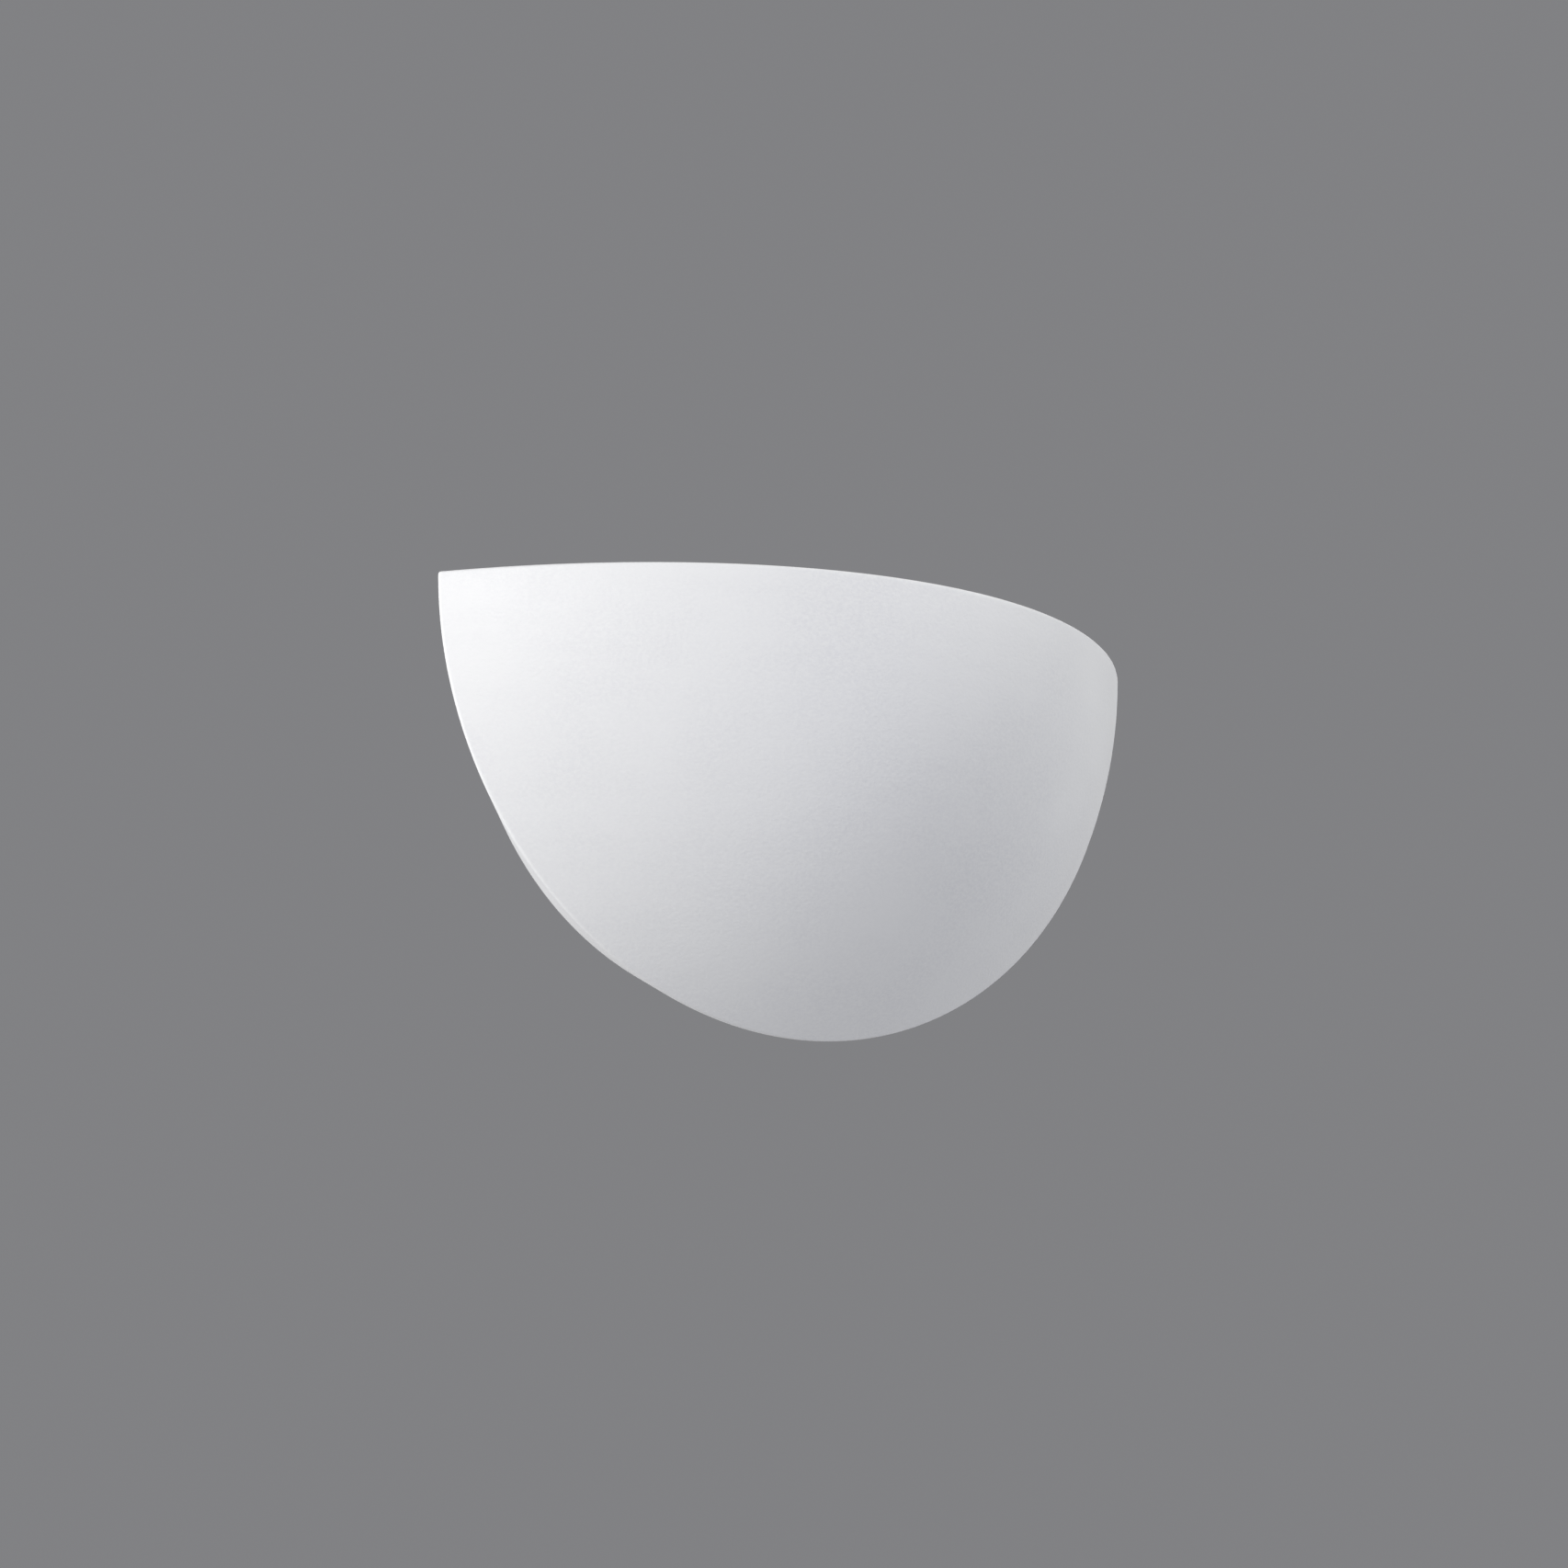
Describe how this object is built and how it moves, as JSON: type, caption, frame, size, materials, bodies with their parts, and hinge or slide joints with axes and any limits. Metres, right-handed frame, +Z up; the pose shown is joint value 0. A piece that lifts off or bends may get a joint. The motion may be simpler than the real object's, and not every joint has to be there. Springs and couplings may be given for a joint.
{
  "type": "uplighter wall sconce",
  "caption": "White ceramic half-bowl wall light, open at the top, that throws its light up the wall; the shade slides off a steel plate after its side thumbscrews are loosened.",
  "frame": {"origin": "midpoint between the two wall fixing slots, on the wall plane", "axes": "+Z up, +Y into the wall, the front of the shade faces -Y"},
  "size_m": [0.305, 0.131, 0.145],
  "materials": {
    "shade_ceramic": "matte white, fine bisque grain",
    "soft_dots": "soft, matte",
    "zinc_steel": "zinc plated",
    "thumbscrew_brass": "knurled, satin",
    "plate_steel": "white powder coat, satin",
    "grommet_rubber": "matte black",
    "porcelain": "glazed, gloss",
    "nickel": "nickel plated",
    "contact_brass": "bright",
    "frosted_globe": "frosted, lit warm white",
    "bulb_white": "smooth white",
    "black_glass": "gloss black",
    "block_nylon": "natural nylon",
    "lead_brown": "silicone insulation",
    "lead_blue": "silicone insulation",
    "lead_green": "silicone insulation, green and yellow"
  },
  "bodies": {
    "wall_bracket": {"wall_plate": "plate_steel", "ear_nuts": "zinc_steel", "cable_grommet": "grommet_rubber", "lamp_bracket": "plate_steel", "bracket_screws": "zinc_steel", "holder_body": "porcelain", "holder_sleeve": "nickel", "holder_contact": "contact_brass", "holder_screws": "zinc_steel", "terminal_block": "block_nylon", "terminal_tubes": "contact_brass", "terminal_screws": "zinc_steel", "block_screws": "zinc_steel", "live_lead": "lead_brown", "neutral_lead": "lead_blue", "earth_lead": "lead_green", "earth_terminal": "nickel", "earth_washer": "zinc_steel", "earth_screw": "contact_brass"},
    "shade": {"shade_shell": "shade_ceramic", "back_dots": "soft_dots"},
    "left_washer": {"left_washer": "zinc_steel"},
    "left_thumbscrew": {"left_thumbscrew": "thumbscrew_brass"},
    "right_washer": {"right_washer": "zinc_steel"},
    "right_thumbscrew": {"right_thumbscrew": "thumbscrew_brass"},
    "bulb_tip": {"bulb_tip": "nickel"},
    "bulb": {"bulb_globe": "frosted_globe", "bulb_collar": "bulb_white", "bulb_cap": "nickel", "bulb_insulator": "black_glass"}
  },
  "joints": [
    {"name": "shade_slide", "type": "slide", "parent": "wall_bracket", "child": "shade", "axis": [0, -1, 0], "range_m": [0, 0.135]},
    {"name": "left_screw_travel", "type": "slide", "parent": "wall_bracket", "child": "left_washer", "axis": [-1, 0, 0], "range_m": [0, 0.0035]},
    {"name": "left_screw_turn", "type": "hinge", "parent": "left_washer", "child": "left_thumbscrew", "pos_m": [-0.1, -0.015, 0], "axis": [-1, 0, 0], "range_deg": [0, 1800]},
    {"name": "right_screw_travel", "type": "slide", "parent": "wall_bracket", "child": "right_washer", "axis": [1, 0, 0], "range_m": [0, 0.0035]},
    {"name": "right_screw_turn", "type": "hinge", "parent": "right_washer", "child": "right_thumbscrew", "pos_m": [0.1, -0.015, 0], "axis": [1, 0, 0], "range_deg": [0, 1800]},
    {"name": "bulb_lift", "type": "slide", "parent": "wall_bracket", "child": "bulb_tip", "axis": [0, 0, 1], "range_m": [0, 0.01409]},
    {"name": "bulb_turn", "type": "hinge", "parent": "bulb_tip", "child": "bulb", "pos_m": [0, -0.05, 0], "axis": [0, 0, 1], "range_deg": [0, 1800]}
  ],
  "couplings": [
    {"joint": "left_screw_turn", "follows": "left_screw_travel", "rad_per_m": 8976},
    {"joint": "right_screw_turn", "follows": "right_screw_travel", "rad_per_m": 8976},
    {"joint": "bulb_turn", "follows": "bulb_lift", "rad_per_m": 2228.1}
  ]
}
